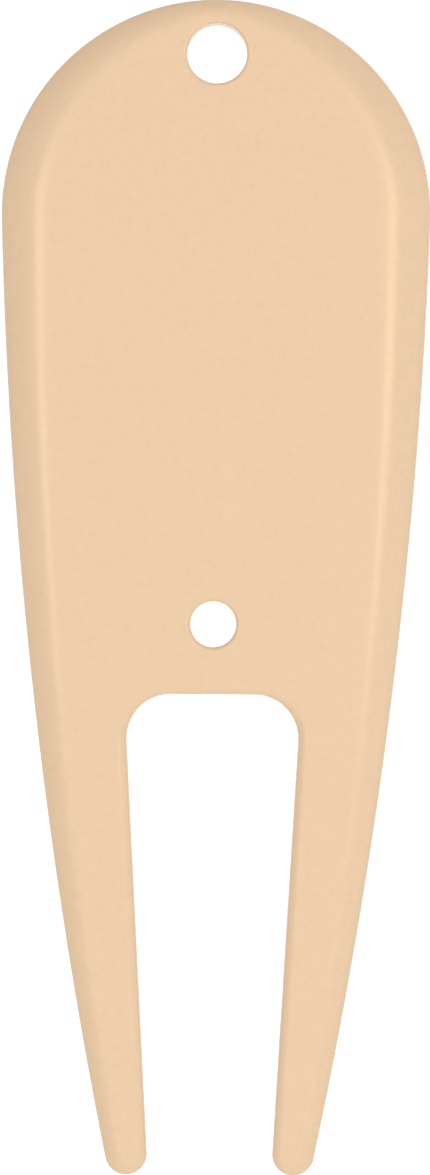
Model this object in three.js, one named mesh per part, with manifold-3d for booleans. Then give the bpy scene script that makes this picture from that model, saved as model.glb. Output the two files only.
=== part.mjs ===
// A divot repair tool: one flat plastic moulding with a round head and a two-pronged fork.
// Units are millimetres. The tool lies on its back: +X runs across it, +Y towards the head
// and +Z out of the front face. The origin is under the middle of its box, on the back face.

import * as THREE from 'three';
import { mergeVertices } from 'three/addons/utils/BufferGeometryUtils.js';
import Module from 'manifold-3d';

const { degToRad, lerp, clamp, smoothstep } = THREE.MathUtils;

// Overall size
const LENGTH = 76.2;
const THICKNESS = 3.0;
const TOP = LENGTH / 2;
const MIDDLE = THICKNESS / 2; // the parting plane: front and back are the same about it

// Outline: a round head, one long arc down each side, and a round tip on each prong
const HEAD_RADIUS = 13.91;
const HEAD_PAST_LEVEL = degToRad(1.7); // how far the head's arc runs on past its widest point
const SIDE_RADIUS = 350.6;
const TIP_RADIUS = 1.36;

// Fork
const FORK_ROOT = TOP - 45.03;
const FORK_CORNER_RADIUS = 2.85;
const FORK_FLARE = degToRad(3.2); // each side of the fork leans out by this towards the root
const TIP_THINNING = 0.4; // what each face loses in thickness from the fork's corners to the tips

// Rounded rim: a small edge radius runs into a broad, shallow shoulder
const RIM_TURN = degToRad(35); // the tilt at which the edge radius hands over to the shoulder
const SHOULDER_AT_TOP = 1.2;
const HEAD_SOFTENING = 0.05; // rounds the shoulder's change of width at the top of the head
const SHOULDER_AT_SIDE = 3.07;
const SHOULDER_AT_TIP = 1.15;
const SHOULDER_IN_FORK = 0.7;
const SHOULDER_AT_ROOT = 0.5;
const OUTER_EDGE_RADIUS = 0.5;
const FORK_EDGE_RADIUS = 0.35;
const EDGE_STEPS = 3;
const SHOULDER_STEPS = 4;

// Holes through the blade, on the centre line, each with its edges rounded at both faces
const HOLES = [
  { y: TOP - 3.53, radius: 1.95, edge: 0.2 },
  { y: TOP - 40.48, radius: 1.5, edge: 0.35 },
];
const HOLE_STEPS = 32;
const HOLE_EDGE_STEPS = 3;

// Round marks that the mould's ejector pins leave in the back
const MARK_DEPTH = 0.1;
const MARK_RADIUS = 1.2;
const MARK_STEPS = 24;
const MARK_PLACES = [
  [6.5, 19],
  [7.7, -5.6],
];

const CUT_OVERRUN = 1; // how far a cutter runs past the face it cuts

const HEAD_CENTRE = new THREE.Vector2(0, TOP - HEAD_RADIUS);
const SIDE_CENTRE = findSideCentre();
const TIP_CENTRE = findTipCentre();
const TIP_START = angleFrom(SIDE_CENTRE, TIP_CENTRE);
const TIP_END = -Math.PI - FORK_FLARE;
const FORK_CORNER = findForkCorner();
const PRONG_TOP = FORK_CORNER.y - (FORK_CORNER_RADIUS + SHOULDER_IN_FORK) * Math.sin(FORK_FLARE);

// The side's arc leaves the head's arc without a kink, so its centre is on the same normal.
function findSideCentre() {
  const reach = SIDE_RADIUS - HEAD_RADIUS;
  return new THREE.Vector2(
    HEAD_CENTRE.x - reach * Math.cos(HEAD_PAST_LEVEL),
    HEAD_CENTRE.y + reach * Math.sin(HEAD_PAST_LEVEL),
  );
}

// The tip's arc sits inside the side's arc and touches the bottom of the tool.
function findTipCentre() {
  const y = -TOP + TIP_RADIUS;
  const reach = SIDE_RADIUS - TIP_RADIUS;
  const x = SIDE_CENTRE.x + Math.sqrt(reach ** 2 - (y - SIDE_CENTRE.y) ** 2);
  return new THREE.Vector2(x, y);
}

// The corner's arc touches the root line and the fork's side, which touches the tip's arc.
function findForkCorner() {
  const y = FORK_ROOT - FORK_CORNER_RADIUS;
  const run = (y - TIP_CENTRE.y) * Math.tan(FORK_FLARE);
  const gap = (TIP_RADIUS + FORK_CORNER_RADIUS) / Math.cos(FORK_FLARE);
  return new THREE.Vector2(TIP_CENTRE.x + run - gap, y);
}

function aroundCentre(centre, radius, angle) {
  return new THREE.Vector2(
    centre.x + radius * Math.cos(angle),
    centre.y + radius * Math.sin(angle),
  );
}

function angleFrom(centre, point) {
  return Math.atan2(point.y - centre.y, point.x - centre.x);
}

// Shoulder width round the head grows quickly from the top and levels off at the side.
function headShoulder(point) {
  const fromTop = (Math.PI / 2 - angleFrom(HEAD_CENTRE, point)) / (Math.PI / 2);
  const softened = Math.hypot(fromTop, HEAD_SOFTENING) - HEAD_SOFTENING;
  const left = Math.max(1 - softened / (1 - HEAD_SOFTENING), 0);
  return lerp(SHOULDER_AT_SIDE, SHOULDER_AT_TOP, left ** 2);
}

// It then shrinks evenly down the side.
function sideShoulder(point) {
  const share = (HEAD_CENTRE.y - point.y) / (HEAD_CENTRE.y - TIP_CENTRE.y);
  return lerp(SHOULDER_AT_SIDE, SHOULDER_AT_TIP, clamp(share, 0, 1));
}

// How far round a tip or a corner a point is, eased at both ends.
function shareOfTip(point) {
  const turned = angleFrom(TIP_CENTRE, point);
  const clockwise = turned > 0 ? turned - 2 * Math.PI : turned;
  return 1 - smoothstep(clockwise, TIP_END, TIP_START);
}

function shareOfCorner(point) {
  return smoothstep(angleFrom(FORK_CORNER, point), -FORK_FLARE, Math.PI / 2);
}

const OUTER_RIM = { shoulder: sideShoulder, edge: () => OUTER_EDGE_RADIUS };
const HEAD_RIM = { shoulder: headShoulder, edge: () => OUTER_EDGE_RADIUS };
const TIP_RIM = {
  shoulder: (point) => lerp(SHOULDER_AT_TIP, SHOULDER_IN_FORK, shareOfTip(point)),
  edge: (point) => lerp(OUTER_EDGE_RADIUS, FORK_EDGE_RADIUS, shareOfTip(point)),
};
const FORK_RIM = {
  shoulder: () => SHOULDER_IN_FORK,
  edge: () => FORK_EDGE_RADIUS,
};
const CORNER_RIM = {
  shoulder: (point) => lerp(SHOULDER_IN_FORK, SHOULDER_AT_ROOT, shareOfCorner(point)),
  edge: () => FORK_EDGE_RADIUS,
};

function arcRun(centre, radius, from, to, steps, rim, part) {
  const curve = new THREE.ArcCurve(centre.x, centre.y, radius, from, to, to < from);
  return { curve, steps, rim, part };
}

function lineRun(from, to, steps, rim, part) {
  return { curve: new THREE.LineCurve(from, to), steps, rim, part };
}

// The right half of the outline, from the middle of the head to the middle of the fork's root:
// each run is a curve with its number of steps, its rim, and the part of the tool it bounds.
function outlineRuns() {
  const level = -HEAD_PAST_LEVEL;
  const foldReach = SIDE_RADIUS - sideShoulder({ y: PRONG_TOP });
  const fold = Math.asin((PRONG_TOP - SIDE_CENTRE.y) / foldReach);
  const lowest = -Math.PI / 2;
  const forkTop = aroundCentre(FORK_CORNER, FORK_CORNER_RADIUS, -FORK_FLARE);
  const forkEnd = aroundCentre(TIP_CENTRE, TIP_RADIUS, TIP_END);
  const rootEnd = new THREE.Vector2(FORK_CORNER.x, FORK_ROOT);
  const rootMiddle = new THREE.Vector2(0, FORK_ROOT);
  return [
    arcRun(HEAD_CENTRE, HEAD_RADIUS, Math.PI / 2, 0, 18, HEAD_RIM, 'blade'),
    arcRun(HEAD_CENTRE, HEAD_RADIUS, 0, level, 1, OUTER_RIM, 'blade'),
    arcRun(SIDE_CENTRE, SIDE_RADIUS, level, fold, 10, OUTER_RIM, 'blade'),
    arcRun(SIDE_CENTRE, SIDE_RADIUS, fold, TIP_START, 8, OUTER_RIM, 'prong'),
    arcRun(TIP_CENTRE, TIP_RADIUS, TIP_START, lowest, 7, TIP_RIM, 'prong'),
    arcRun(TIP_CENTRE, TIP_RADIUS, lowest, TIP_END, 7, TIP_RIM, 'prong'),
    lineRun(forkEnd, forkTop, 8, FORK_RIM, 'prong'),
    arcRun(FORK_CORNER, FORK_CORNER_RADIUS, -FORK_FLARE, Math.PI / 2, 8, CORNER_RIM, 'fork'),
    lineRun(rootEnd, rootMiddle, 2, CORNER_RIM, 'fork'),
  ];
}

// A station is a point of the outline with its outward normal and the rim's sizes there.
function stationOn({ curve, rim, part }, t) {
  const point = curve.getPoint(t);
  const along = curve.getTangent(t);
  return {
    part,
    point,
    normal: new THREE.Vector2(-along.y, along.x),
    shoulder: rim.shoulder(point),
    edge: rim.edge(point),
  };
}

function mirrored(station) {
  return {
    ...station,
    point: new THREE.Vector2(-station.point.x, station.point.y),
    normal: new THREE.Vector2(-station.normal.x, station.normal.y),
  };
}

function halfStations() {
  const runs = outlineRuns();
  const stations = runs.flatMap((run) =>
    Array.from({ length: run.steps }, (_, i) => stationOn(run, i / run.steps)),
  );
  stations.push(stationOn(runs.at(-1), 1));
  return stations;
}

// How far in from the outline, and how far below the face, the rim is where it tilts this much.
function rimAt(station, tilt) {
  const { shoulder, edge } = station;
  const shoulderRadius = (shoulder - edge * (1 - Math.sin(RIM_TURN))) / Math.sin(RIM_TURN);
  if (tilt <= RIM_TURN) {
    return {
      inset: shoulder - shoulderRadius * Math.sin(tilt),
      drop: shoulderRadius * (1 - Math.cos(tilt)),
    };
  }
  return {
    inset: edge * (1 - Math.sin(tilt)),
    drop: shoulderRadius * (1 - Math.cos(RIM_TURN)) + edge * (Math.cos(RIM_TURN) - Math.cos(tilt)),
  };
}

// Half the tool's thickness, which tapers down the prongs.
function halfThickness(y) {
  const share = clamp((PRONG_TOP - y) / (PRONG_TOP + TOP), 0, 1);
  return MIDDLE - TIP_THINNING * share;
}

// The tilts of the rim's rings, from the upright wall at the parting plane to the flat face.
function rimTilts() {
  const edge = Array.from({ length: EDGE_STEPS }, (_, i) =>
    lerp(Math.PI / 2, RIM_TURN, i / EDGE_STEPS),
  );
  const shoulder = Array.from({ length: SHOULDER_STEPS + 1 }, (_, i) =>
    lerp(RIM_TURN, 0, i / SHOULDER_STEPS),
  );
  return [...edge, ...shoulder];
}

function ringAt(stations, tilt, side) {
  return stations.map((station) => {
    const { inset, drop } = rimAt(station, tilt);
    const place = station.point.clone().addScaledVector(station.normal, -inset);
    return [place.x, place.y, MIDDLE + side * (halfThickness(place.y) - drop)];
  });
}

// Triangles over a flat outline of ring points, turned to face up (side 1) or down (side -1).
function flatTriangles(outline, points, side) {
  const contour = outline.map((index) => new THREE.Vector2(...points[index]));
  return THREE.ShapeUtils.triangulateShape(contour, []).map(([a, b, c]) => {
    const turn = contour[b].clone().sub(contour[a]).cross(contour[c].clone().sub(contour[a]));
    const corners = turn * side > 0 ? [a, b, c] : [a, c, b];
    return corners.map((corner) => outline[corner]);
  });
}

// The blade with its prongs as one closed skin: rings of the rim, joined by bands, then the faces.
function bladeGeometry() {
  const right = halfStations();
  const left = right.slice(1, -1).reverse().map(mirrored);
  const stations = [...right, ...left];
  const count = stations.length;
  const tilts = rimTilts();
  const rings = [
    ...tilts.toReversed().map((tilt) => ringAt(stations, tilt, -1)),
    ...tilts.map((tilt) => ringAt(stations, tilt, 1)),
  ];
  const triangles = [];
  for (let ring = 0; ring + 1 < rings.length; ring += 1) {
    for (let i = 0; i < count; i += 1) {
      const a = ring * count + i;
      const b = ring * count + ((i + 1) % count);
      triangles.push([a, a + count, b], [b, a + count, b + count]);
    }
  }
  for (const [ring, side] of [[0, -1], [rings.length - 1, 1]]) {
    for (const outline of faceOutlines(stations)) {
      const face = flatTriangles(outline, rings[ring], side);
      triangles.push(...face.map((corners) => corners.map((i) => i + ring * count)));
    }
  }
  const geometry = new THREE.BufferGeometry();
  geometry.setAttribute('position', new THREE.Float32BufferAttribute(rings.flat(2), 3));
  geometry.setIndex(triangles.flat());
  return geometry;
}

// Each face is flat over the head and blade, and folds to a slope at the top of each prong.
function faceOutlines(stations) {
  const right = stations.findIndex(({ part }) => part === 'prong');
  const rightEnd = stations.findIndex(({ part }) => part === 'fork');
  const count = stations.length;
  const span = (from, to) => Array.from({ length: to - from + 1 }, (_, i) => (from + i) % count);
  return [
    [...span(0, right), ...span(rightEnd, count - rightEnd), ...span(count - right, count - 1)],
    span(right, rightEnd),
    span(count - rightEnd, count - right),
  ];
}

// A turned cutter for a through hole, flared at both faces to leave rounded edges.
function holeCutter({ y, radius, edge }) {
  const low = Array.from({ length: HOLE_EDGE_STEPS + 1 }, (_, i) => {
    const angle = (i / HOLE_EDGE_STEPS) * (Math.PI / 2);
    return new THREE.Vector2(radius + edge * (1 - Math.sin(angle)), edge * (1 - Math.cos(angle)));
  });
  const high = low.toReversed().map((point) => new THREE.Vector2(point.x, THICKNESS - point.y));
  const profile = [
    new THREE.Vector2(0, -CUT_OVERRUN),
    new THREE.Vector2(radius + edge, -CUT_OVERRUN),
    ...low,
    ...high,
    new THREE.Vector2(radius + edge, THICKNESS + CUT_OVERRUN),
    new THREE.Vector2(0, THICKNESS + CUT_OVERRUN),
  ];
  const cutter = new THREE.LatheGeometry(profile, HOLE_STEPS);
  return cutter.rotateX(Math.PI / 2).translate(0, y, 0);
}

function markCutter(x, y) {
  const height = MARK_DEPTH + CUT_OVERRUN;
  const cutter = new THREE.CylinderGeometry(MARK_RADIUS, MARK_RADIUS, height, MARK_STEPS);
  return cutter.rotateX(Math.PI / 2).translate(x, y, MARK_DEPTH - height / 2);
}

function toSolid(wasm, geometry) {
  const bare = geometry.clone();
  bare.deleteAttribute('normal');
  bare.deleteAttribute('uv');
  const merged = mergeVertices(bare, 1e-5);
  return new wasm.Manifold(new wasm.Mesh({
    numProp: 3,
    vertProperties: new Float32Array(merged.attributes.position.array),
    triVerts: new Uint32Array(merged.index.array),
  }));
}

function toGeometry(solid) {
  const mesh = solid.getMesh();
  const geometry = new THREE.BufferGeometry();
  geometry.setAttribute('position', new THREE.BufferAttribute(mesh.vertProperties, 3));
  geometry.setIndex(new THREE.BufferAttribute(mesh.triVerts, 1));
  geometry.computeVertexNormals();
  return geometry;
}

const wasm = await Module();
wasm.setup();

let body = toSolid(wasm, bladeGeometry());
for (const hole of HOLES) {
  body = body.subtract(toSolid(wasm, holeCutter(hole)));
}
for (const [x, y] of MARK_PLACES) {
  body = body.subtract(toSolid(wasm, markCutter(x, y)));
  body = body.subtract(toSolid(wasm, markCutter(-x, y)));
}

const plastic = new THREE.MeshStandardMaterial({
  color: new THREE.Color().setRGB(0.855, 0.617, 0.407),
  roughness: 0.45,
  metalness: 0,
  flatShading: true,
});

const toolBody = new THREE.Mesh(toGeometry(body), plastic);
toolBody.name = 'tool_body';

const divotTool = new THREE.Group();
divotTool.name = 'divot_repair_tool';
divotTool.add(toolBody);

export default divotTool;
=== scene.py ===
"""A moulded plastic divot repair tool, lying on its back in soft studio light."""

import logging
import math
from collections.abc import Callable, Iterable
from dataclasses import dataclass, field
from enum import Enum
from functools import partial

import bmesh
import bpy
from mathutils import Matrix, Vector


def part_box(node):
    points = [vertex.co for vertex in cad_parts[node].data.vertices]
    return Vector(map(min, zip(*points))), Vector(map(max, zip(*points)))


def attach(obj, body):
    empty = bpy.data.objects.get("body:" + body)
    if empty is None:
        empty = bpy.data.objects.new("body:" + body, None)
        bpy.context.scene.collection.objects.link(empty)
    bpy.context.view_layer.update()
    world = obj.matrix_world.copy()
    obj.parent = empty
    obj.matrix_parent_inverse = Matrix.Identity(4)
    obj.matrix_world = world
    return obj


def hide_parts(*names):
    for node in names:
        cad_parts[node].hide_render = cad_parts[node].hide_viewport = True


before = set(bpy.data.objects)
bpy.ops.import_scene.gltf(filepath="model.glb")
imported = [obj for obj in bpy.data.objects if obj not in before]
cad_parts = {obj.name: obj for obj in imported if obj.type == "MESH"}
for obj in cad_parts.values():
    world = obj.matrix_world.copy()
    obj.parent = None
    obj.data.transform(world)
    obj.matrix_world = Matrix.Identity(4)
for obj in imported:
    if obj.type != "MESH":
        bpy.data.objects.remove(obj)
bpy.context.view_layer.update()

Value = bpy.types.NodeSocket | float

LOG = logging.getLogger("divot_tool")

MM = 0.001
TOUCHING = 1e-7  # metres: points closer than this are one point
WITHIN = 1e-6  # metres: a point may be this far past a limit and still count as inside it
NODE = "tool_body"
BODY = "root"
WHITE = (1.0, 1.0, 1.0, 1.0)


def ease(share: float) -> float:
    """Eases a share from 0 to 1 at both ends."""
    clipped = min(max(share, 0.0), 1.0)
    return clipped * clipped * (3.0 - 2.0 * clipped)


def mix(start: float, end: float, share: float) -> float:
    """Goes from start to end as share goes from 0 to 1."""
    return start + (end - start) * share


def steps(start: float, end: float, count: int) -> list[float]:
    """Lists count even steps from start to end, without the start itself."""
    return [mix(start, end, step / count) for step in range(1, count + 1)]


class Run(Enum):
    """The stretches of the tool's outline, each with a rim of its own."""

    HEAD = 1
    SIDE = 2
    TIP = 3
    PRONG_INSIDE = 4
    CORNER = 5
    ROOT = 6


class Layer(Enum):
    """The mesh's layers that its finish reads."""

    TRIMMED = "trimmed"
    POLISHED = "polished"


@dataclass(frozen=True)
class Rim:
    """The rounded rim at one point of the outline: a small edge radius and a broad shoulder.

    Attributes:
        shoulder: distance from the outline to the flat face.
        edge: radius between the upright wall and the shoulder.
        turn: tilt at which the edge radius hands over to the shoulder.
        bend: how late the shoulder bends: 1 bends evenly, more bends less near the flat face.
    """

    shoulder: float
    edge: float
    turn: float
    bend: float

    def at(self, tilt: float) -> tuple[float, float]:
        """Finds where the rim leans by a tilt.

        Args:
            tilt: angle of the surface from the flat face, in radians.

        Returns:
            How far in from the outline and how far below the flat face the rim is there.
        """
        width = self.shoulder - self.edge * (1.0 - math.sin(self.turn))
        fall = math.tan(self.turn) * width / (self.bend + 1.0)
        if tilt <= self.turn:
            share = (math.tan(tilt) / math.tan(self.turn)) ** (1.0 / self.bend)
            return self.shoulder - share * width, share ** (self.bend + 1.0) * fall
        inset = self.edge * (1.0 - math.sin(tilt))
        return inset, fall + self.edge * (math.cos(self.turn) - math.cos(tilt))

    def wall_top(self, half: float) -> float:
        """Gives the height at which the upright wall ends, where half the thickness is half."""
        return half - self.at(math.pi / 2)[1]


# gives the inset and the height of one point of the rim, from the rim and half the thickness
Section = Callable[[Rim, float], tuple[float, float]]


@dataclass(frozen=True)
class Outline:
    """The tool's outline at its parting plane, symmetric about the Y axis.

    Attributes:
        top: height of the head's top above the middle of the tool; the tips are as far below.
        head_past_level: how far the head's arc runs on past its widest point, in radians.
        root_from_top: how far the fork's root is below the head's top.
        fork_flare: how far the prongs' insides close in on their way to the tips, in radians.
        gate_half_width: half the width of the gate mark in the root.
    """

    top: float
    head_radius: float = 13.91 * MM
    head_past_level: float = math.radians(1.7)
    side_radius: float = 350.6 * MM
    tip_radius: float = 1.36 * MM
    root_from_top: float = 45.03 * MM
    corner_radius: float = 2.85 * MM
    fork_flare: float = math.radians(3.2)
    gate_half_width: float = 0.8 * MM
    head_edges: int = 60
    side_edges: int = 64
    outer_tip_edges: int = 18
    inner_tip_edges: int = 20
    prong_edges: int = 28
    corner_edges: int = 24
    root_edges: int = 4
    gate_edges: int = 3

    @property
    def head_centre(self) -> Vector:
        """Centre of the head's arc."""
        return Vector((0.0, self.top - self.head_radius, 0.0))

    @property
    def side_centre(self) -> Vector:
        """Centre of the right side's arc, which leaves the head's arc without a kink."""
        reach = self.side_radius - self.head_radius
        level = self.head_past_level
        return self.head_centre + reach * Vector((-math.cos(level), math.sin(level), 0.0))

    @property
    def tip_centre(self) -> Vector:
        """Centre of the right tip's arc, inside the side's arc and level with the lowest point."""
        y = self.tip_radius - self.top
        reach = self.side_radius - self.tip_radius
        fall = y - self.side_centre.y
        return Vector((self.side_centre.x + math.sqrt(reach**2 - fall**2), y, 0.0))

    @property
    def root(self) -> float:
        """Height of the fork's root."""
        return self.top - self.root_from_top

    @property
    def corner_centre(self) -> Vector:
        """Centre of the fork's right corner, which touches the root and the prong's inside."""
        y = self.root - self.corner_radius
        run = (y - self.tip_centre.y) * math.tan(self.fork_flare)
        gap = (self.tip_radius + self.corner_radius) / math.cos(self.fork_flare)
        return Vector((self.tip_centre.x + run - gap, y, 0.0))

    @property
    def tip_start(self) -> float:
        """Angle round the tip's centre at which the side's arc meets the tip."""
        reach = self.tip_centre - self.side_centre
        return math.atan2(reach.y, reach.x)

    @property
    def tip_turn(self) -> float:
        """Angle that the tip's arc turns through, clockwise."""
        return self.tip_start + math.pi + self.fork_flare

    def outward(self, point: Vector, run: Run) -> Vector:
        """Finds the direction that points out of the tool at a point of the outline.

        Args:
            point: the point, on either half.
            run: the stretch that it is on.

        Returns:
            The unit direction, in the parting plane.
        """
        right = Vector((abs(point.x), point.y, 0.0))
        if run is Run.HEAD:
            found = right - self.head_centre
        elif run is Run.SIDE:
            found = right - self.side_centre
        elif run is Run.TIP:
            found = right - self.tip_centre
        elif run is Run.PRONG_INSIDE:
            found = Vector((-math.cos(self.fork_flare), math.sin(self.fork_flare), 0.0))
        elif run is Run.CORNER:
            found = self.corner_centre - right
        else:
            found = Vector((0.0, -1.0, 0.0))
        found.normalize()
        return Vector((math.copysign(found.x, found.x * point.x), found.y, 0.0))

    def draw(self, bm: bmesh.types.BMesh) -> list[bmesh.types.BMEdge]:
        """Draws the outline as one closed loop of edges in the parting plane.

        Args:
            bm: an empty mesh, which gets the layers "run" and "station".

        Returns:
            The loop's edges.
        """
        pen = Pen(bm, Vector((0.0, self.top, 0.0)))
        level = math.pi / 2 + self.head_past_level
        side = -self.head_past_level - self.tip_start
        tip_low = self.tip_start + math.pi / 2
        pen.arc(Run.HEAD, self.head_centre, math.pi / 2, self.head_edges)
        pen.arc(Run.HEAD, self.head_centre, level - math.pi / 2, 1)
        pen.arc(Run.SIDE, self.side_centre, side, self.side_edges)
        pen.arc(Run.TIP, self.tip_centre, tip_low, self.outer_tip_edges)
        pen.arc(Run.TIP, self.tip_centre, self.tip_turn - tip_low, self.inner_tip_edges)
        corner = self.corner_centre
        lean = Vector((math.cos(self.fork_flare), -math.sin(self.fork_flare), 0.0))
        pen.line(Run.PRONG_INSIDE, corner + self.corner_radius * lean, self.prong_edges)
        pen.arc(Run.CORNER, corner, -(math.pi / 2 + self.fork_flare), self.corner_edges)
        pen.line(Run.ROOT, Vector((self.gate_half_width, self.root, 0.0)), self.root_edges)
        pen.line(Run.ROOT, Vector((0.0, self.root, 0.0)), self.gate_edges)
        bmesh.ops.mirror(
            bm, geom=bm.verts[:] + bm.edges[:], matrix=Matrix(), merge_dist=TOUCHING, axis="X"
        )
        bmesh.ops.remove_doubles(bm, verts=bm.verts[:], dist=TOUCHING)
        station = bm.verts.layers.float_vector["station"]
        for vert in bm.verts:
            vert[station] = vert.co
        return bm.edges[:]


class Pen:
    """Draws a chain of edges clockwise, and marks each point with the run it is on."""

    def __init__(self, bm: bmesh.types.BMesh, start: Vector) -> None:
        """Puts the pen down.

        Args:
            bm: the mesh that is drawn in.
            start: the first point.
        """
        self.bm = bm
        self.run = bm.verts.layers.int.new("run")
        bm.verts.layers.float_vector.new("station")
        self.last = bmesh.ops.create_vert(bm, co=start)["vert"][0]
        self.last[self.run] = Run.HEAD.value

    def arc(self, run: Run, centre: Vector, turn: float, count: int) -> None:
        """Draws an arc.

        Args:
            run: the stretch that it belongs to.
            centre: the arc's centre.
            turn: the angle it turns through, clockwise, in radians.
            count: how many edges it gets.
        """
        drawn = len(self.bm.verts)
        spun = bmesh.ops.spin(
            self.bm, geom=[self.last], cent=centre, axis=(0.0, 0.0, -1.0), angle=turn, steps=count
        )
        self.bm.verts.ensure_lookup_table()
        for vert in self.bm.verts[drawn:]:
            vert[self.run] = run.value
        self.last = next(g for g in spun["geom_last"] if isinstance(g, bmesh.types.BMVert))

    def line(self, run: Run, end: Vector, count: int) -> None:
        """Draws a straight line.

        Args:
            run: the stretch that it belongs to.
            end: where it ends.
            count: how many edges it gets.
        """
        start = self.last.co.copy()
        for share in steps(0.0, 1.0, count):
            self.last = bmesh.ops.extrude_vert_indiv(self.bm, verts=[self.last])["verts"][0]
            self.last.co = start.lerp(end, share)
            self.last[self.run] = run.value


def grow_ring(
    bm: bmesh.types.BMesh,
    edges: Iterable[bmesh.types.BMEdge],
    place: Callable[[bmesh.types.BMVert], Vector],
) -> list[bmesh.types.BMEdge]:
    """Extrudes a loop of edges into a band, and places the band's far loop.

    Args:
        bm: the mesh.
        edges: the loop that the band grows from.
        place: gives a new point its place, from its layers and its old place.

    Returns:
        The far loop's edges.
    """
    grown = bmesh.ops.extrude_edge_only(bm, edges=list(edges))["geom"]
    fresh = {item for item in grown if isinstance(item, bmesh.types.BMVert)}
    for vert in fresh:
        vert.co = place(vert)
    return [e for e in grown if isinstance(e, bmesh.types.BMEdge) and fresh.issuperset(e.verts)]


def cut_across(
    bm: bmesh.types.BMesh, faces: Iterable[bmesh.types.BMFace], place: float, axis: int
) -> list[bmesh.types.BMFace]:
    """Cuts level faces along a straight line.

    Args:
        bm: the mesh.
        faces: the faces to cut.
        place: where the line is along the axis.
        axis: 0 for a line at a place along X, 1 for one along Y.

    Returns:
        The faces, cut.
    """
    direction = Vector((axis == 0, axis == 1, 0.0))
    edges = {edge for face in faces for edge in face.edges}
    verts = {vert for face in faces for vert in face.verts}
    cut = bmesh.ops.bisect_plane(
        bm,
        geom=[*verts, *edges, *faces],
        dist=TOUCHING,
        plane_co=place * direction,
        plane_no=direction,
    )
    return [item for item in cut["geom"] if isinstance(item, bmesh.types.BMFace)]


@dataclass(frozen=True)
class Hole:
    """A through hole on the centre line, with its edges rounded at both faces.

    Attributes:
        y: height of its centre.
        radius: radius of its wall.
        edge: radius of its rounded edges.
    """

    y: float
    radius: float
    edge: float
    segments: int = 72
    edge_steps: int = 7
    margin: float = 0.05 * MM

    def bore(self, bm: bmesh.types.BMesh, half: float) -> None:
        """Makes the upper half of the wall, from the parting plane to the front face.

        Args:
            bm: the mesh.
            half: half the tool's thickness.
        """
        centre = Vector((0.0, self.y, 0.0))
        circle = bmesh.ops.create_circle(
            bm, radius=self.radius, segments=self.segments, matrix=Matrix.Translation(centre)
        )
        loop = {edge for vert in circle["verts"] for edge in vert.link_edges}
        rings = [(self.radius, (half - self.edge) / 2), (self.radius, half - self.edge)]
        for angle in steps(0.0, math.pi / 2, self.edge_steps):
            flare = self.radius + self.edge * (1.0 - math.cos(angle))
            rings.append((flare, half - self.edge * (1.0 - math.sin(angle))))
        rings.append((self.radius + self.edge + self.margin, half))
        for radius, height in rings:
            loop = grow_ring(bm, loop, lambda vert: around(vert.co, centre, radius, height))


def around(point: Vector, centre: Vector, radius: float, height: float) -> Vector:
    """Moves a point out or in from an upright axis, to a radius and a height."""
    out = Vector((point.x - centre.x, point.y - centre.y, 0.0)).normalized()
    return Vector((centre.x, centre.y, height)) + radius * out


@dataclass(frozen=True)
class EjectorMark:
    """The shallow round mark that an ejector pin leaves in the back face.

    Attributes:
        x: distance of its centre from the centre line.
        y: height of its centre.
        edge: radius of its rounded edges.
        edge_middle: how far a rounded edge's middle stands off both faces, as a share of edge.
        disc_inset: how far its wall stands outside the disc in the middle of its floor.
        margin: how far the ring round it reaches into the back face.
    """

    x: float
    y: float
    radius: float = 1.2 * MM
    depth: float = 0.1 * MM
    edge: float = 0.03 * MM
    edge_middle: float = 0.3
    disc_inset: float = 0.12 * MM
    margin: float = 0.1 * MM
    segments: int = 48

    def press(self, bm: bmesh.types.BMesh, half: float) -> None:
        """Makes the mark as a shallow cup, open at the back face.

        Args:
            bm: the mesh.
            half: half the tool's thickness.
        """
        centre = Vector((self.x, self.y, 0.0))
        floor = self.depth - half
        middle = self.edge * self.edge_middle
        disc = bmesh.ops.create_circle(
            bm,
            cap_ends=True,
            radius=self.radius - self.disc_inset,
            segments=self.segments,
            matrix=Matrix.Translation((self.x, self.y, floor)),
        )
        polished = bm.verts.layers.float[Layer.POLISHED.value]
        for vert in disc["verts"]:
            vert[polished] = 1.0
        loop = {edge for vert in disc["verts"] for edge in vert.link_edges}
        rings = [
            (self.radius - self.edge, floor),
            (self.radius, floor - self.edge),
            (self.radius, -half + self.edge),
            (self.radius + middle, -half + middle),
            (self.radius + self.edge, -half),
            (self.radius + self.edge + self.margin, -half),
        ]
        for radius, height in rings:
            loop = grow_ring(bm, loop, lambda vert: around(vert.co, centre, radius, height))
            for vert in {vert for edge in loop for vert in edge.verts}:
                vert[polished] = float(height == floor)


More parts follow.
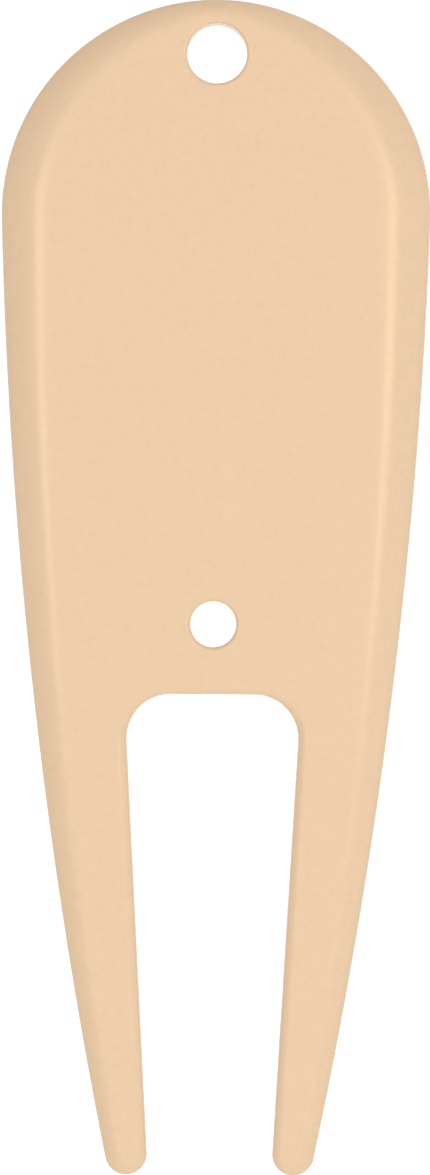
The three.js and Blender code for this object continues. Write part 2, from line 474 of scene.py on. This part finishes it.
@dataclass
class DivotTool:
    """The whole tool, one moulding: head, blade and two prongs.

    Attributes:
        outline: its outline at the parting plane.
        thickness: its thickness over the head and blade.
        rim_turn: tilt at which an edge radius hands over to the shoulder, in radians.
        rim_bend: how late the shoulder bends.
        head_softening: share of the head's quarter over which the shoulder starts to grow.
        tip_thinning: how much thinner each half is at the tips.
        fold_length: length over which the prongs start to thin.
        flash_height: how far the parting line's flash stands out of the wall.
        gate_share: how much of the wall's height the gate mark takes.
        face_margin: width of the flat strip that joins the rim to the face.
        face_pitch: size of the face's cells.
    """

    outline: Outline
    thickness: float
    rim_turn: float = math.radians(35.0)
    rim_bend: float = 1.4
    shoulder_at_top: float = 1.24 * MM
    shoulder_at_side: float = 3.35 * MM
    shoulder_at_tip: float = 1.2 * MM
    shoulder_in_fork: float = 0.7 * MM
    shoulder_at_root: float = 0.5 * MM
    head_softening: float = 0.05
    outer_edge: float = 0.5 * MM
    fork_edge: float = 0.35 * MM
    tip_thinning: float = 0.4 * MM
    fold_length: float = 4.0 * MM
    flash_height: float = 0.02 * MM
    flash_half_width: float = 0.03 * MM
    flash_foot: float = 0.07 * MM
    gate_share: float = 0.45
    gate_depth: float = 0.05 * MM
    edge_steps: int = 8
    shoulder_steps: int = 14
    face_margin: float = 0.05 * MM
    face_pitch: float = 2.0 * MM
    holes: list[Hole] = field(default_factory=list)
    marks: list[EjectorMark] = field(default_factory=list)

    @property
    def half(self) -> float:
        """Half the thickness over the head and blade."""
        return self.thickness / 2

    @property
    def prong_top(self) -> float:
        """Height at which the prongs start to thin."""
        outline = self.outline
        reach = outline.corner_radius + self.shoulder_in_fork
        return outline.corner_centre.y - reach * math.sin(outline.fork_flare)

    def rim(self, point: Vector, run: Run) -> Rim:
        """Gives the rim's sizes at a point of the outline.

        Args:
            point: the point, on either half.
            run: the stretch that it is on.

        Returns:
            The rim there, measured inside the parting line's flash.
        """
        right = Vector((abs(point.x), point.y, 0.0))
        if run is Run.HEAD:
            shoulder, edge = self._head_shoulder(right), self.outer_edge
        elif run is Run.SIDE:
            shoulder, edge = self._side_shoulder(right), self.outer_edge
        elif run is Run.TIP:
            share = self._share_of_tip(right)
            shoulder = mix(self.shoulder_at_tip, self.shoulder_in_fork, share)
            edge = mix(self.outer_edge, self.fork_edge, share)
        else:
            share = self._share_of_corner(right, run)
            shoulder = mix(self.shoulder_in_fork, self.shoulder_at_root, share)
            edge = self.fork_edge
        return Rim(shoulder - self.flash_height, edge, self.rim_turn, self.rim_bend)

    def _head_shoulder(self, point: Vector) -> float:
        """Gives the shoulder's width round the head, which grows quickly from the top.

        Args:
            point: the point of the outline, on the right half.

        Returns:
            The width.
        """
        reach = point - self.outline.head_centre
        from_top = math.atan2(reach.x, reach.y) / (math.pi / 2)
        soft = self.head_softening
        left = max(1.0 - (math.hypot(from_top, soft) - soft) / (1.0 - soft), 0.0)
        return mix(self.shoulder_at_side, self.shoulder_at_top, left**2)

    def _side_shoulder(self, point: Vector) -> float:
        """Gives the shoulder's width down the side, which shrinks evenly.

        Args:
            point: the point of the outline, on the right half.

        Returns:
            The width.
        """
        start, end = self.outline.head_centre.y, self.outline.tip_centre.y
        share = min(max((start - point.y) / (start - end), 0.0), 1.0)
        return mix(self.shoulder_at_side, self.shoulder_at_tip, share)

    def _share_of_tip(self, point: Vector) -> float:
        """Finds how far round the tip a point is.

        Args:
            point: the point of the outline, on the right half.

        Returns:
            0 on the tip's outside, easing to 1 on its inside.
        """
        reach = point - self.outline.tip_centre
        turned = (self.outline.tip_start - math.atan2(reach.y, reach.x)) % (2 * math.pi)
        return ease(turned / self.outline.tip_turn)

    def _share_of_corner(self, point: Vector, run: Run) -> float:
        """Finds how far round the fork's corner a point is.

        Args:
            point: the point of the outline, on the right half.
            run: the stretch that it is on.

        Returns:
            0 on the prong, easing to 1 on the root.
        """
        if run is not Run.CORNER:
            return float(run is Run.ROOT)
        reach = point - self.outline.corner_centre
        flare = self.outline.fork_flare
        return ease((math.atan2(reach.y, reach.x) + flare) / (math.pi / 2 + flare))

    def half_at(self, y: float) -> float:
        """Gives half the thickness at a height, which thins down the prongs after a soft fold.

        Args:
            y: the height.

        Returns:
            Half the thickness there.
        """
        below = self.prong_top - y
        slope = self.tip_thinning / (self.prong_top + self.outline.top)
        soft = self.fold_length / 2
        if below <= -soft:
            return self.half
        if below >= soft:
            return self.half - slope * below
        return self.half - slope * (below + soft) ** 2 / (4 * soft)

    def _leaning(self, tilt: float, rim: Rim, half: float) -> tuple[float, float]:
        """The section's point that leans by a tilt, outside the flash's foot."""
        inset, drop = rim.at(tilt)
        return self.flash_height + inset, half - drop

    def _add_ring(
        self,
        bm: bmesh.types.BMesh,
        loop: list[bmesh.types.BMEdge],
        section: Section,
        trimmed: float = 0.0,
    ) -> list[bmesh.types.BMEdge]:
        """Adds one ring of the rim.

        Args:
            bm: the mesh.
            loop: the edges of the ring before it.
            section: the ring's place in the rim.
            trimmed: 1 where the plastic has been trimmed, 0 where it is as moulded.

        Returns:
            The new ring's edges.
        """
        run_layer = bm.verts.layers.int["run"]
        station_layer = bm.verts.layers.float_vector["station"]
        trimmed_layer = bm.verts.layers.float[Layer.TRIMMED.value]

        def place(vert: bmesh.types.BMVert) -> Vector:
            """Places one of the ring's points.

            Args:
                vert: the point, which knows its station on the outline.

            Returns:
                Its place.
            """
            run, station = Run(vert[run_layer]), Vector(vert[station_layer])
            rim = self.rim(station, run)
            inset, _ = section(rim, self.half)
            point = station - self.outline.outward(station, run) * inset
            _, point.z = section(rim, self.half_at(point.y))
            vert[trimmed_layer] = trimmed
            return point

        return grow_ring(bm, loop, place)

    def _grow_rim(self, bm: bmesh.types.BMesh, loop: list[bmesh.types.BMEdge]) -> None:
        """Grows the front half of the rim from the outline, ring by ring.

        Args:
            bm: the mesh.
            loop: the outline's edges.
        """
        trimmed_layer = bm.verts.layers.float[Layer.TRIMMED.value]
        for vert in bm.verts:
            vert[trimmed_layer] = 1.0
        loop = self._add_ring(bm, loop, lambda rim, half: (0.0, self.flash_half_width), 1.0)
        wall = self.flash_height
        tilts = steps(math.pi / 2, self.rim_turn, self.edge_steps)
        tilts += steps(self.rim_turn, 0.0, self.shoulder_steps)
        sections: list[Section] = [
            lambda rim, half: (wall, self.flash_foot),
            lambda rim, half: (wall, self.gate_share * rim.wall_top(half)),
            lambda rim, half: (wall, rim.wall_top(half)),
            *(partial(self._leaning, tilt) for tilt in tilts),
            lambda rim, half: (wall + rim.shoulder + self.face_margin, half),
        ]
        for section in sections:
            loop = self._add_ring(bm, loop, section)

    def _fill_face(self, bm: bmesh.types.BMesh, side: int) -> None:
        """Fills a face inside its rim and round its holes, and cuts it into even cells.

        Args:
            bm: the mesh.
            side: 1 for the front face, -1 for the back.
        """
        edges = [e for e in bm.edges if e.is_boundary and e.verts[0].co.z * side > 0.0]
        filled = bmesh.ops.triangle_fill(bm, use_beauty=True, edges=edges, normal=(0, 0, side))
        faces = [item for item in filled["geom"] if isinstance(item, bmesh.types.BMFace)]
        pitch = self.face_pitch
        row_lines = math.floor(self.outline.top / pitch)
        column_lines = math.floor(self.outline.head_radius / pitch)
        for line in range(-row_lines, row_lines + 1):
            faces = cut_across(bm, faces, line * pitch, axis=1)
        rows: dict[int, list[bmesh.types.BMFace]] = {}
        for face in faces:
            rows.setdefault(math.floor(face.calc_center_median().y / pitch), []).append(face)
        faces = []
        for row in rows.values():
            faces += bmesh.ops.dissolve_faces(bm, faces=row, use_verts=False)["region"]
        for line in range(-column_lines, column_lines + 1):
            faces = cut_across(bm, faces, line * pitch, axis=0)

    def _trim_gate(self, bm: bmesh.types.BMesh) -> None:
        """Sinks the trimmed gate mark into the wall at the fork's root.

        Args:
            bm: the mesh, closed, with its parting plane at z = 0.
        """
        outline = self.outline
        root = Vector((0.0, outline.root, 0.0))
        wall_top = self.rim(root, Run.ROOT).wall_top(self.half)
        reach = Vector((outline.gate_half_width, self.gate_depth, self.gate_share * wall_top))
        faces = [
            face
            for face in bm.faces
            if all(
                abs(offset) < limit + WITHIN
                for vert in face.verts
                for offset, limit in zip(vert.co - root, reach)
            )
        ]
        bmesh.ops.inset_region(bm, faces=faces, thickness=self.gate_depth, use_even_offset=True)
        trimmed = bm.verts.layers.float[Layer.TRIMMED.value]
        for vert in {vert for face in faces for vert in face.verts}:
            vert.co.y = outline.root + self.gate_depth
            vert[trimmed] = 1.0

    def build(self) -> bpy.types.Object:
        """Models the tool.

        Returns:
            The tool as one closed mesh object, lying on its back on the plane z = 0.
        """
        bm = bmesh.new()
        for layer in Layer:
            bm.verts.layers.float.new(layer.value)
        self._grow_rim(bm, self.outline.draw(bm))
        for hole in self.holes:
            hole.bore(bm, self.half)
        bmesh.ops.mirror(
            bm,
            geom=bm.verts[:] + bm.edges[:] + bm.faces[:],
            matrix=Matrix(),
            merge_dist=TOUCHING,
            axis="Z",
        )
        bmesh.ops.remove_doubles(bm, verts=bm.verts[:], dist=TOUCHING)
        for mark in self.marks:
            mark.press(bm, self.half)
        for side in (1, -1):
            self._fill_face(bm, side)
        bmesh.ops.recalc_face_normals(bm, faces=bm.faces[:])
        self._trim_gate(bm)
        bmesh.ops.translate(bm, verts=bm.verts[:], vec=(0.0, 0.0, self.half))
        for face in bm.faces:
            face.smooth = True
        mesh = bpy.data.meshes.new("divot_tool")
        bm.to_mesh(mesh)
        bm.free()
        tool = bpy.data.objects.new("divot_tool", mesh)
        bpy.context.scene.collection.objects.link(tool)
        return tool


class Bench:
    """Adds shader nodes to one material, and wires them together."""

    NOISE_MIDDLE = 0.5

    def __init__(self, tree: bpy.types.NodeTree) -> None:
        """Starts work on a material's nodes."""
        self.tree = tree

    def add(self, kind: str, inputs: dict[str | int, object], **options: object) -> bpy.types.Node:
        """Adds a node.

        Args:
            kind: the node's type.
            inputs: for an input's name or number, the socket to link to it or the value to set.
            options: the node's own options.

        Returns:
            The node.
        """
        node = self.tree.nodes.new(kind)
        for name, option in options.items():
            setattr(node, name, option)
        for key, given in inputs.items():
            if isinstance(given, bpy.types.NodeSocket):
                self.tree.links.new(given, node.inputs[key])
            else:
                node.inputs[key].default_value = given
        return node

    def math(self, operation: str, *values: Value) -> bpy.types.NodeSocket:
        """Works out one sum, and gives its result."""
        return self.add("ShaderNodeMath", dict(enumerate(values)), operation=operation).outputs[0]

    def total(self, start: float, parts: Iterable[tuple[Value, float]]) -> bpy.types.NodeSocket:
        """Adds up parts, each times its weight.

        Args:
            start: what the total is without them.
            parts: the parts and their weights.

        Returns:
            The total.
        """
        result = start
        for part, weight in parts:
            result = self.math("MULTIPLY_ADD", part, weight, result)
        return result

    def fade(self, value: Value, whole: float, gone: float) -> bpy.types.NodeSocket:
        """Eases from 1 to 0 as a value goes from whole to gone.

        Args:
            value: the value.
            whole: where the result is 1, and before it.
            gone: where the result is 0, and past it.

        Returns:
            The result.
        """
        inputs = {"Value": value, "From Min": whole, "From Max": gone, "To Min": 1.0, "To Max": 0.0}
        kind = "ShaderNodeMapRange"
        return self.add(kind, inputs, interpolation_type="SMOOTHSTEP").outputs["Result"]

    def band(self, value: Value, whole: float, gone: float) -> bpy.types.NodeSocket:
        """Gives 1 within whole of zero, easing to 0 at gone from it."""
        return self.fade(self.math("ABSOLUTE", value), whole, gone)

    def noise(
        self, place: Value, size: float, detail: float = 0.0, crispness: float = 0.5
    ) -> bpy.types.NodeSocket:
        """Gives smooth noise about zero.

        Args:
            place: the point it is read at.
            size: how far apart its blobs are.
            detail: how many finer layers it has.
            crispness: how strong each finer layer is, as a share of the one before.

        Returns:
            The noise, from about -0.5 to 0.5.
        """
        inputs = {"Vector": place, "Scale": 1.0 / size, "Detail": detail, "Roughness": crispness}
        noise = self.add("ShaderNodeTexNoise", inputs)
        return self.math("SUBTRACT", noise.outputs[0], self.NOISE_MIDDLE)

    def moved(
        self, place: Value, origin: Vector, turn: float, stretch: Vector = Vector((1.0, 1.0, 1.0))
    ) -> bpy.types.NodeSocket:
        """Reads places from a new origin.

        Args:
            place: the point.
            origin: the new origin.
            turn: how far the new axes turn about Z, in radians.
            stretch: the length of a unit along each new axis.

        Returns:
            The point in the new axes.
        """
        inputs = {
            "Vector": place,
            "Location": origin,
            "Rotation": (0.0, 0.0, turn),
            "Scale": stretch,
        }
        return self.add("ShaderNodeMapping", inputs, vector_type="TEXTURE").outputs[0]

    def apart(self, place: Value) -> tuple[bpy.types.NodeSocket, ...]:
        """Splits a point into its X, Y and Z."""
        return tuple(self.add("ShaderNodeSeparateXYZ", {0: place}).outputs)

    def layer(self, name: str) -> bpy.types.NodeSocket:
        """Reads one of the mesh's own layers."""
        return self.add("ShaderNodeAttribute", {}, attribute_name=name).outputs["Fac"]


@dataclass(frozen=True)
class Scratch:
    """A short scratch in the front face.

    Attributes:
        x: distance of its middle from the centre line.
        y: height of its middle.
        turn: its direction, from the X axis.
        half_length: how far it reaches from its middle.
        half_width: half its width where it is widest.
    """

    x: float
    y: float
    turn: float
    half_length: float = 0.95 * MM
    half_width: float = 0.09 * MM

    def mask(self, bench: Bench, place: bpy.types.NodeSocket) -> bpy.types.NodeSocket:
        """Gives 1 in the scratch's middle and 0 off it.

        Args:
            bench: the material's nodes.
            place: the point on the tool.

        Returns:
            The mask.
        """
        across = bench.moved(place, Vector((self.x, self.y, 0.0)), self.turn)
        along, aside, _ = bench.apart(across)
        length = bench.band(along, self.half_length / 4, self.half_length)
        return bench.math("MULTIPLY", length, bench.band(aside, 0.0, self.half_width))


@dataclass(frozen=True)
class FlowLine:
    """The faint line where the melt has closed again past the lower hole.

    Attributes:
        x: distance of its middle from the centre line.
        start: height at which it starts, above the hole.
        end: height at which the last of it is gone.
    """

    x: float
    start: float
    end: float
    half_width: float = 0.6 * MM
    wander: float = 0.5 * MM
    wander_length: float = 9.0 * MM

    def mask(self, bench: Bench, place: bpy.types.NodeSocket) -> bpy.types.NodeSocket:
        """Gives 1 in the line's middle and 0 off it.

        Args:
            bench: the material's nodes.
            place: the point on the tool.

        Returns:
            The mask.
        """
        across, along, _ = bench.apart(place)
        wander = bench.noise(place, self.wander_length)
        aside = bench.total(-self.x, [(across, 1.0), (wander, self.wander)])
        width = bench.band(aside, 0.0, self.half_width)
        middle = mix(self.start, self.end, 0.5)
        from_middle = bench.math("SUBTRACT", along, middle)
        length = bench.band(from_middle, (self.end - self.start) / 4, (self.end - self.start) / 2)
        return bench.math("MULTIPLY", width, length)


@dataclass(frozen=True)
class Marks:
    """Where the plastic's marks are: each is 1 on its mark and 0 off it.

    Attributes:
        line: the flow line.
        scratch: the scratches.
        rubs: the hairlines that pockets and turf rub in.
        trimmed: the flash and the gate mark.
        polished: the floors of the ejector marks.
    """

    line: bpy.types.NodeSocket
    scratch: bpy.types.NodeSocket
    rubs: bpy.types.NodeSocket
    trimmed: bpy.types.NodeSocket
    polished: bpy.types.NodeSocket


@dataclass(frozen=True)
class MouldedPlastic:
    """Pale tan moulded plastic with a satin gloss, as it comes from a smooth tool.

    A name that ends in contrast is a share of the colour, one in roughness adds to the roughness,
    and one in height or depth raises or sinks the surface.

    Attributes:
        front: height of the tool's front face above the table.
        flow_line: the line past the lower hole.
        scratches: the scratches in the front face.
        gloss_tint: the gloss has the plastic's own hue.
        layers: how many finer layers the cloud, the grain and the ripple each have.
        rub_shift: how far the noise moves for each radian of a hairline's turn.
        rub_whole: noise at which a hairline is at its strongest.
        rub_gone: noise at which it is gone.
    """

    front: float
    flow_line: FlowLine
    scratches: tuple[Scratch, ...]
    colour: tuple[float, float, float] = (0.855, 0.617, 0.407)
    gloss_tint: tuple[float, float, float] = (1.0, 0.722, 0.476)
    roughness: float = 0.21
    refraction: float = 1.5
    speckle: float = 0.6 * MM
    speckle_layers: float = 2.0
    speckle_crispness: float = 0.95
    speckle_contrast: float = 0.105
    layers: float = 1.0
    cloud: float = 7.0 * MM
    cloud_contrast: float = 0.008
    grain: float = 0.11 * MM
    grain_height: float = 0.0007 * MM
    ripple: float = 1.3 * MM
    ripple_height: float = 0.0025 * MM
    smear: float = 2.4 * MM
    smear_layers: float = 2.0
    smear_roughness: float = 0.05
    rub_turns: tuple[float, ...] = (math.radians(68.0), math.radians(-57.0), math.radians(101.0))
    rub_shift: float = 1.0 * MM
    rub_length: float = 4.0 * MM
    rub_width: float = 0.07 * MM
    rub_whole: float = 0.36
    rub_gone: float = 0.29
    rub_roughness: float = 0.06
    rub_depth: float = 0.0004 * MM
    line_contrast: float = 0.009
    line_depth: float = 0.001 * MM
    scratch_contrast: float = -0.03
    scratch_roughness: float = 0.12
    scratch_depth: float = 0.0008 * MM
    trim_contrast: float = 0.05
    trim_roughness: float = 0.25
    polish_roughness: float = -0.07

    def _rubs(self, bench: Bench, place: bpy.types.NodeSocket) -> bpy.types.NodeSocket:
        """Draws the rubbed hairlines.

        Args:
            bench: the material's nodes.
            place: the point on the tool.

        Returns:
            1 on a hairline and 0 off it.
        """
        hairlines: Value = 0.0
        stretch = Vector((self.rub_length, self.rub_width, self.rub_length))
        for turn in self.rub_turns:
            origin = Vector((turn * self.rub_shift, 0.0, 0.0))
            noise = bench.noise(bench.moved(place, origin, turn, stretch), 1.0)
            one_way = bench.fade(noise, self.rub_whole, self.rub_gone)
            hairlines = bench.math("MAXIMUM", hairlines, one_way)
        return hairlines

    def _marks(self, bench: Bench, place: bpy.types.NodeSocket) -> Marks:
        """Finds where the marks are.

        Args:
            bench: the material's nodes.
            place: the point on the tool.

        Returns:
            The marks.
        """
        front = bench.fade(bench.apart(place)[2], self.front, self.front / 2)
        scratch: Value = 0.0
        for mark in self.scratches:
            scratch = bench.math("MAXIMUM", scratch, mark.mask(bench, place))
        return Marks(
            line=bench.math("MULTIPLY", self.flow_line.mask(bench, place), front),
            scratch=bench.math("MULTIPLY", scratch, front),
            rubs=self._rubs(bench, place),
            trimmed=bench.layer(Layer.TRIMMED.value),
            polished=bench.layer(Layer.POLISHED.value),
        )

    def _colour(
        self, bench: Bench, place: bpy.types.NodeSocket, marks: Marks
    ) -> bpy.types.NodeSocket:
        """Works out the colour.

        Args:
            bench: the material's nodes.
            place: the point on the tool.
            marks: where the marks are.

        Returns:
            The colour.
        """
        speckle = bench.noise(place, self.speckle, self.speckle_layers, self.speckle_crispness)
        parts = [
            (speckle, self.speckle_contrast),
            (bench.noise(place, self.cloud, self.layers), self.cloud_contrast),
            (marks.line, self.line_contrast),
            (marks.scratch, self.scratch_contrast),
            (marks.trimmed, self.trim_contrast),
        ]
        inputs = {"Vector": self.colour, "Scale": bench.total(1.0, parts)}
        return bench.add("ShaderNodeVectorMath", inputs, operation="SCALE").outputs["Vector"]

    def _roughness(
        self, bench: Bench, place: bpy.types.NodeSocket, marks: Marks
    ) -> bpy.types.NodeSocket:
        """Works out the roughness.

        Args:
            bench: the material's nodes.
            place: the point on the tool.
            marks: where the marks are.

        Returns:
            The roughness.
        """
        parts = [
            (bench.noise(place, self.smear, self.smear_layers), self.smear_roughness),
            (marks.rubs, self.rub_roughness),
            (marks.scratch, self.scratch_roughness),
            (marks.trimmed, self.trim_roughness),
            (marks.polished, self.polish_roughness),
        ]
        return bench.total(self.roughness, parts)

    def _normal(
        self, bench: Bench, place: bpy.types.NodeSocket, marks: Marks
    ) -> bpy.types.NodeSocket:
        """Works out the fine relief.

        Args:
            bench: the material's nodes.
            place: the point on the tool.
            marks: where the marks are.

        Returns:
            The surface's direction.
        """
        parts = [
            (bench.noise(place, self.grain, self.layers), self.grain_height),
            (bench.noise(place, self.ripple, self.layers), self.ripple_height),
            (marks.rubs, -self.rub_depth),
            (marks.line, -self.line_depth),
            (marks.scratch, -self.scratch_depth),
        ]
        inputs = {"Height": bench.total(0.0, parts), "Distance": 1.0, "Strength": 1.0}
        return bench.add("ShaderNodeBump", inputs).outputs["Normal"]

    def material(self) -> bpy.types.Material:
        """Makes the finish as a material.

        Returns:
            The material.
        """
        made = bpy.data.materials.new("moulded_plastic")
        made.use_nodes = True
        bench = Bench(made.node_tree)
        place = bench.add("ShaderNodeTexCoord", {}).outputs["Object"]
        marks = self._marks(bench, place)
        shader = made.node_tree.nodes["Principled BSDF"]
        link = made.node_tree.links.new
        link(self._colour(bench, place, marks), shader.inputs["Base Color"])
        link(self._roughness(bench, place, marks), shader.inputs["Roughness"])
        link(self._normal(bench, place, marks), shader.inputs["Normal"])
        shader.inputs["Specular Tint"].default_value = (*self.gloss_tint, 1.0)
        shader.inputs["IOR"].default_value = self.refraction
        return made


@dataclass(frozen=True)
class Softbox:
    """A rectangular studio light, aimed at the tool.

    Attributes:
        name: what it is called.
        place: where it stands.
        size: its length round the tool and its length outwards from over it.
        radiance: how bright its face is.
        shows_in_gloss: whether it is mirrored in glossy surfaces.
    """

    name: str
    place: tuple[float, float, float]
    size: tuple[float, float]
    radiance: float
    shows_in_gloss: bool = True

    def light(self) -> bpy.types.Object:
        """Sets the light up.

        Returns:
            The light.
        """
        lamp = bpy.data.lights.new(self.name, "AREA")
        lamp.shape = "RECTANGLE"
        lamp.size, lamp.size_y = self.size
        lamp.energy = self.radiance * math.pi * self.size[0] * self.size[1]
        made = bpy.data.objects.new(self.name, lamp)
        made.location = self.place
        made.rotation_euler = Vector(self.place).to_track_quat("Z", "Y").to_euler()
        made.visible_camera = False
        made.visible_glossy = self.shows_in_gloss
        bpy.context.scene.collection.objects.link(made)
        return made


@dataclass(frozen=True)
class Table:
    """A pale table of white paper, which curves up into a wall all round.

    The paper glows a little, most of all under the tool, so that it stays white beside the
    tool's own shade.

    Attributes:
        gap: how far it lies under the tool.
        paper: how much light the paper throws back, as a share.
        glow_whole: distance from the tool's middle up to which it glows as at the tool.
        glow_gone: distance from which it glows as at the wall.
    """

    flat_radius: float = 1.53
    bend_radius: float = 0.68
    wall_height: float = 1.36
    segments: int = 96
    bend_steps: int = 16
    gap: float = 0.02 * MM
    paper: float = 0.8
    glow_at_tool: float = 0.68
    glow_at_wall: float = 0.42
    glow_whole: float = 0.1
    glow_gone: float = 1.4

    def lay(self) -> bpy.types.Object:
        """Lays the table under the tool.

        Returns:
            The table.
        """
        bm = bmesh.new()
        disc = bmesh.ops.create_circle(
            bm, cap_ends=True, radius=self.flat_radius, segments=self.segments
        )
        loop = {edge for vert in disc["verts"] for edge in vert.link_edges}
        rings = [
            (math.sin(angle) * self.bend_radius, (1.0 - math.cos(angle)) * self.bend_radius)
            for angle in steps(0.0, math.pi / 2, self.bend_steps)
        ]
        rings.append((self.bend_radius, self.wall_height))
        for reach, height in rings:
            radius = self.flat_radius + reach
            loop = grow_ring(bm, loop, lambda vert: around(vert.co, Vector(), radius, height))
        bmesh.ops.translate(bm, verts=bm.verts[:], vec=(0.0, 0.0, -self.gap))
        for face in bm.faces:
            face.smooth = len(face.verts) != self.segments
        mesh = bpy.data.meshes.new("table")
        bm.to_mesh(mesh)
        bm.free()
        mesh.materials.append(self.material())
        table = bpy.data.objects.new("table", mesh)
        table.visible_diffuse = False
        bpy.context.scene.collection.objects.link(table)
        return table

    def material(self) -> bpy.types.Material:
        """Makes the paper.

        Returns:
            The material.
        """
        made = bpy.data.materials.new("table_paper")
        made.use_nodes = True
        bench = Bench(made.node_tree)
        place = bench.add("ShaderNodeTexCoord", {}).outputs["Object"]
        reach = bench.add("ShaderNodeVectorMath", {0: place}, operation="LENGTH").outputs["Value"]
        near = bench.fade(reach, self.glow_whole, self.glow_gone)
        glow = bench.total(self.glow_at_wall, [(near, self.glow_at_tool - self.glow_at_wall)])
        shader = made.node_tree.nodes["Principled BSDF"]
        made.node_tree.links.new(glow, shader.inputs["Emission Strength"])
        shader.inputs["Emission Color"].default_value = WHITE
        shader.inputs["Base Color"].default_value = (self.paper, self.paper, self.paper, 1.0)
        shader.inputs["Roughness"].default_value = 1.0
        shader.inputs["Specular IOR Level"].default_value = 0.0
        return made


@dataclass
class Studio:
    """The lights and the camera.

    Attributes:
        length: the tool's length, which fills the view from top to bottom.
        middle: height of the tool's parting plane.
    """

    length: float
    middle: float
    camera_height: float = 0.6
    camera_turn: float = math.radians(0.403)
    camera_aside: float = 0.1 * MM
    sensor: float = 36.0
    nearest: float = 0.01
    ambient: float = 0.43
    softboxes: tuple[Softbox, ...] = (
        Softbox("overhead", (0.0, 0.0, 0.75), (0.5, 0.5), 2.08, False),
        Softbox("right", (0.61, 0.0, 0.35), (0.4, 0.4), 2.16, False),
        Softbox("near", (-0.26, -0.55, 0.35), (0.4, 0.4), 2.06, False),
        Softbox("small_right", (0.14, 0.035, 0.5), (0.09, 0.12), 4.9),
        Softbox("small_left", (-0.138, 0.035, 0.5), (0.09, 0.11), 4.3),
    )

    def light(self) -> None:
        """Sets up the softboxes and the even light of the room."""
        for softbox in self.softboxes:
            softbox.light()
        world = bpy.data.worlds.new("room")
        world.use_nodes = True
        background = world.node_tree.nodes["Background"]
        background.inputs["Color"].default_value = WHITE
        background.inputs["Strength"].default_value = self.ambient
        bpy.context.scene.world = world
        bpy.context.scene.view_settings.view_transform = "Standard"

    def place_camera(self) -> bpy.types.Object:
        """Hangs the camera square over the tool, so that the tool just fills the view.

        Returns:
            The camera.
        """
        lens = bpy.data.cameras.new("camera")
        lens.sensor_width = self.sensor
        lens.lens = self.sensor * (self.camera_height - self.middle) / self.length
        lens.clip_start = self.nearest
        camera = bpy.data.objects.new("camera", lens)
        camera.location = (self.camera_aside, 0.0, self.camera_height)
        camera.rotation_euler = (0.0, 0.0, self.camera_turn)
        bpy.context.scene.collection.objects.link(camera)
        bpy.context.scene.camera = camera
        return camera


def plan_tool(top: float, thickness: float) -> DivotTool:
    """Sets out the tool with its holes and marks.

    Args:
        top: height of the head's top above the middle of the tool.
        thickness: thickness over the head and blade.

    Returns:
        The tool, not yet modelled.
    """
    holes = [
        Hole(y=top - 3.53 * MM, radius=1.95 * MM, edge=0.2 * MM),
        Hole(y=top - 40.48 * MM, radius=1.5 * MM, edge=0.22 * MM),
    ]
    marks = [
        EjectorMark(x=side * x, y=y)
        for side in (1, -1)
        for x, y in ((6.5 * MM, 19.0 * MM), (7.7 * MM, -5.6 * MM))
    ]
    return DivotTool(outline=Outline(top=top), thickness=thickness, holes=holes, marks=marks)


def plan_finish(front: float) -> MouldedPlastic:
    """Sets out the tool's finish.

    Args:
        front: height of the tool's front face above the table.

    Returns:
        The finish.
    """
    return MouldedPlastic(
        front=front,
        flow_line=FlowLine(x=0.95 * MM, start=-2.0 * MM, end=26.0 * MM),
        scratches=(Scratch(x=-1.88 * MM, y=16.3 * MM, turn=math.radians(50.0)),),
    )


def main() -> None:
    """Builds the tool and the studio, and reports each piece."""
    logging.basicConfig(level=logging.INFO, format="%(name)s: %(message)s")
    low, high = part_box(NODE)
    thickness = high.z - low.z
    tool = plan_tool(high.y, thickness).build()
    tool.data.materials.append(plan_finish(thickness).material())
    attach(tool, BODY)
    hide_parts(NODE)
    LOG.info("%s: %d faces", tool.name, len(tool.data.polygons))
    Table().lay()
    studio = Studio(length=high.y - low.y, middle=(low.z + high.z) / 2)
    studio.light()
    studio.place_camera()


if __name__ == "__main__":
    main()
